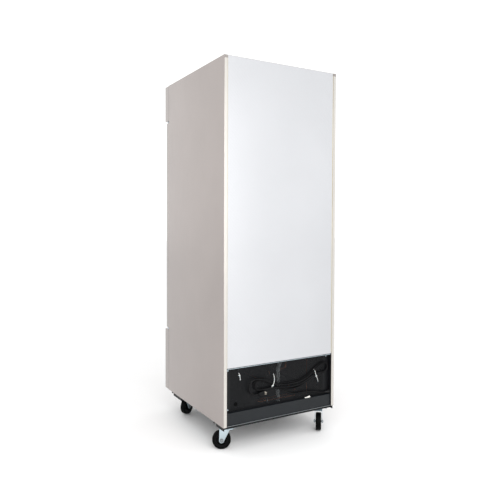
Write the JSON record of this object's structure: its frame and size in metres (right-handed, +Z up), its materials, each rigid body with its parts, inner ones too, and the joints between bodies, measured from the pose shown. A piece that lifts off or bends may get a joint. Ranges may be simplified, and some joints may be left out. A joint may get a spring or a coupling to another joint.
{
  "type": "reach in refrigerator",
  "caption": "Tall stainless reach-in refrigerator with a hinged door, wire shelves, a bottom condensing unit behind a louvred cover, a tied-up power cord and locking swivel casters.",
  "frame": {"origin": "on the floor under the middle of the body", "axes": "+Z up, the door faces -Y, +X is the right-hand side seen from the front, the rear cover and cord face +Y"},
  "size_m": [0.7885, 0.8464, 2.095],
  "materials": {
    "stainless": "brushed",
    "back_sheet": "satin",
    "foam": "matte",
    "liner": "satin",
    "trim_plastic": "matte",
    "gasket": "matte",
    "black_steel": "satin",
    "zinc": "zinc plated",
    "tyre": "matte",
    "black_plastic": "satin",
    "copper": "satin",
    "hose_grey": "satin",
    "pan": "matte",
    "fan": "satin",
    "motor": "satin",
    "coil": "satin",
    "shelf_coating": "satin",
    "cord_rubber": "satin",
    "tie_nylon": "satin",
    "bushing_nylon": "satin",
    "lock_chrome": "polished",
    "lens": "satin"
  },
  "bodies": {
    "cabinet": {"side_panel_left": "stainless", "side_panel_right": "stainless", "top_panel": "stainless", "back_panel": "back_sheet", "foam_insulation": "foam", "inner_liner": "liner", "door_frame_trim": "trim_plastic", "header_panel": "stainless", "controller_case": "black_plastic", "front_grille": "stainless", "panel_screws": "zinc", "base_frame": "black_steel", "caster_beams": "black_steel", "rear_cover": "black_steel", "compressor": "black_steel", "condenser_coil": "coil", "condenser_fan_motor": "motor", "condensate_pan": "pan", "refrigerant_lines": "copper", "drain_hose": "hose_grey", "junction_box": "black_plastic", "evaporator_housing": "liner", "evaporator_coil": "coil", "evaporator_fan_motor": "motor", "interior_light": "lens", "shelf_standards": "zinc", "hinge_brackets": "zinc", "caster_plates": "zinc", "power_cord_lead": "cord_rubber", "power_cord_hank": "cord_rubber", "power_cord_tail": "cord_rubber", "plug": "cord_rubber", "cord_gland": "black_plastic", "cable_ties": "tie_nylon", "shelf_lower": "shelf_coating", "shelf_middle": "shelf_coating", "shelf_upper": "shelf_coating"},
    "door": {"door_skin": "stainless", "door_foam": "foam", "door_liner": "liner", "door_gasket": "gasket", "door_handle": "stainless", "hinge_bushings": "bushing_nylon"},
    "lock": {"lock_barrel": "lock_chrome"},
    "condenser_fan_rotor": {"condenser_fan": "fan"},
    "evaporator_fan_rotor": {"evaporator_fan": "fan"},
    "rocker": {"power_rocker": "black_plastic"},
    "button_set_key": {"button_set": "black_plastic"},
    "button_up_key": {"button_up": "black_plastic"},
    "button_down_key": {"button_down": "black_plastic"},
    "fork_rear_right": {"caster_fork_rear_right": "zinc"},
    "wheel_rear_right": {"caster_wheel_rear_right": "tyre"},
    "fork_rear_left": {"caster_fork_rear_left": "zinc"},
    "wheel_rear_left": {"caster_wheel_rear_left": "tyre"},
    "fork_front_right": {"caster_fork_front_right": "zinc"},
    "wheel_front_right": {"caster_wheel_front_right": "tyre"},
    "fork_front_left": {"caster_fork_front_left": "zinc"},
    "wheel_front_left": {"caster_wheel_front_left": "tyre"},
    "pedal_front_right": {"brake_pedal_front_right": "black_plastic"},
    "pedal_front_left": {"brake_pedal_front_left": "black_plastic"}
  },
  "joints": [
    {"name": "door_hinge", "type": "hinge", "parent": "cabinet", "child": "door", "pos_m": [0.35, -0.377, 1.201], "axis": [0, 0, 1], "range_deg": [0, 110], "stiffness_Nm_per_rad": 1, "springref_deg": -11.46},
    {"name": "lock_turn", "type": "hinge", "parent": "cabinet", "child": "lock", "pos_m": [-0.3, -0.4135, 1.895], "axis": [0, 1, 0], "range_deg": [0, 90]},
    {"name": "condenser_fan_spin", "type": "hinge", "parent": "cabinet", "child": "condenser_fan_rotor", "pos_m": [0, -0.24, 0.29], "axis": [0, 1, 0], "continuous": true},
    {"name": "evaporator_fan_spin", "type": "hinge", "parent": "cabinet", "child": "evaporator_fan_rotor", "pos_m": [0, 0.112, 1.957], "axis": [0, 1, 0], "continuous": true},
    {"name": "power_rocker_tilt", "type": "hinge", "parent": "cabinet", "child": "rocker", "pos_m": [0.262, -0.412, 1.99], "axis": [-1, 0, 0], "range_deg": [0, 16]},
    {"name": "button_set_press", "type": "slide", "parent": "cabinet", "child": "button_set_key", "axis": [0, 1, 0], "range_m": [0, 0.0008], "stiffness_N_per_m": 200},
    {"name": "button_up_press", "type": "slide", "parent": "cabinet", "child": "button_up_key", "axis": [0, 1, 0], "range_m": [0, 0.0008], "stiffness_N_per_m": 200},
    {"name": "button_down_press", "type": "slide", "parent": "cabinet", "child": "button_down_key", "axis": [0, 1, 0], "range_m": [0, 0.0008], "stiffness_N_per_m": 200},
    {"name": "swivel_rear_right", "type": "hinge", "parent": "cabinet", "child": "fork_rear_right", "pos_m": [0.305, 0.3515, 0.12], "axis": [0, 0, 1], "continuous": true},
    {"name": "wheel_rear_right_roll", "type": "hinge", "parent": "fork_rear_right", "child": "wheel_rear_right", "pos_m": [0.33886, 0.33425, 0.0508], "axis": [0.454, 0.891, 0], "continuous": true},
    {"name": "swivel_rear_left", "type": "hinge", "parent": "cabinet", "child": "fork_rear_left", "pos_m": [-0.305, 0.3515, 0.12], "axis": [0, 0, 1], "continuous": true},
    {"name": "wheel_rear_left_roll", "type": "hinge", "parent": "fork_rear_left", "child": "wheel_rear_left", "pos_m": [-0.2816, 0.38144, 0.0508], "axis": [-0.788, 0.6157, 0], "continuous": true},
    {"name": "swivel_front_right", "type": "hinge", "parent": "cabinet", "child": "fork_front_right", "pos_m": [0.318, -0.234, 0.12], "axis": [0, 0, 1], "continuous": true},
    {"name": "wheel_front_right_roll", "type": "hinge", "parent": "fork_front_right", "child": "wheel_front_right", "pos_m": [0.28509, -0.253, 0.0508], "axis": [0.5, -0.866, 0], "continuous": true},
    {"name": "swivel_front_left", "type": "hinge", "parent": "cabinet", "child": "fork_front_left", "pos_m": [-0.318, -0.234, 0.12], "axis": [0, 0, 1], "continuous": true},
    {"name": "wheel_front_left_roll", "type": "hinge", "parent": "fork_front_left", "child": "wheel_front_left", "pos_m": [-0.34711, -0.20957, 0.0508], "axis": [-0.6428, -0.766, 0], "continuous": true},
    {"name": "brake_front_right", "type": "hinge", "parent": "fork_front_right", "child": "pedal_front_right", "pos_m": [0.2695, -0.262, 0.107], "axis": [0.5, -0.866, 0], "range_deg": [0, 12]},
    {"name": "brake_front_left", "type": "hinge", "parent": "fork_front_left", "child": "pedal_front_left", "pos_m": [-0.3609, -0.198, 0.107], "axis": [-0.6428, -0.766, 0], "range_deg": [0, 12]}
  ]
}
